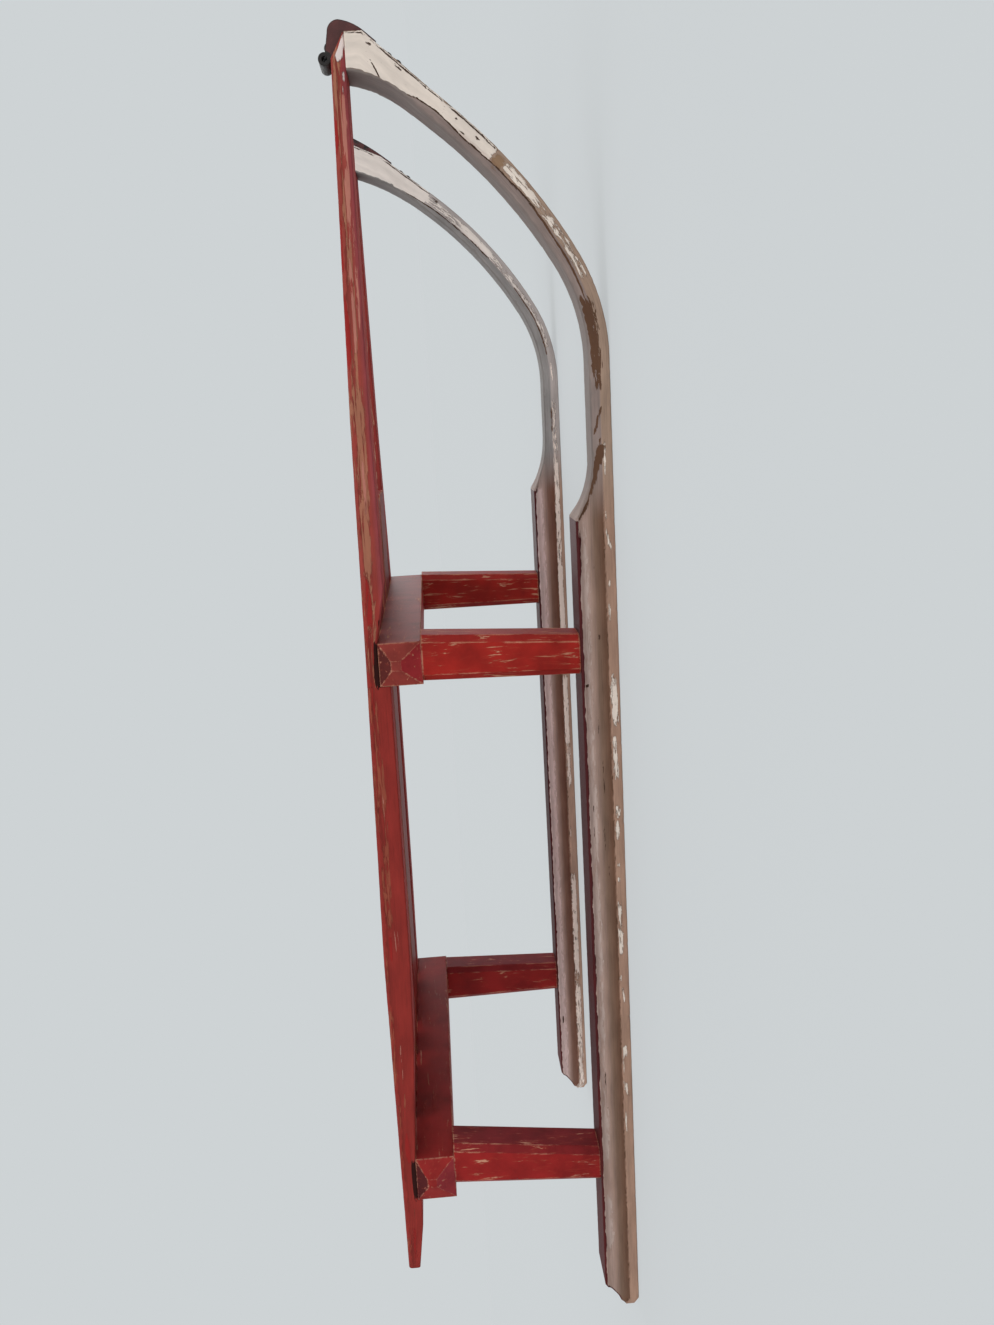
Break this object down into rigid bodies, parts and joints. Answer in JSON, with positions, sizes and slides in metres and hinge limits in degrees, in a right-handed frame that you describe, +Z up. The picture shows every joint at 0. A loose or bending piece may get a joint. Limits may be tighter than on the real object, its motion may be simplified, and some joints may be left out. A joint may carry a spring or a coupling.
{
  "type": "wooden sled",
  "caption": "Low wooden child's sled with coved runners that curve up to the seat rails, two bridges with diamond ends, a slatted seat and iron tip straps.",
  "frame": {"origin": "on the ground below the middle of the sled", "axes": "+X forward to the horn tips, +Y to the sled's left, +Z up"},
  "size_m": [1.102, 0.39, 0.2159],
  "materials": {
    "runner_wood": "worn pinkish paint over bare wood",
    "red_painted_wood": "worn red paint",
    "dark_iron": "dark rusty forged iron"
  },
  "bodies": {
    "root": {"runner_right": "runner_wood", "runner_left": "runner_wood", "side_rail_right": "red_painted_wood", "side_rail_left": "red_painted_wood", "bridge_beam_front": "red_painted_wood", "bridge_beam_rear": "red_painted_wood", "leg_front_right": "red_painted_wood", "leg_front_left": "red_painted_wood", "leg_rear_right": "red_painted_wood", "leg_rear_left": "red_painted_wood", "slat_right": "red_painted_wood", "slat_middle": "red_painted_wood", "slat_left": "red_painted_wood", "tip_iron_right": "dark_iron", "tip_iron_left": "dark_iron"}
  },
  "joints": []
}
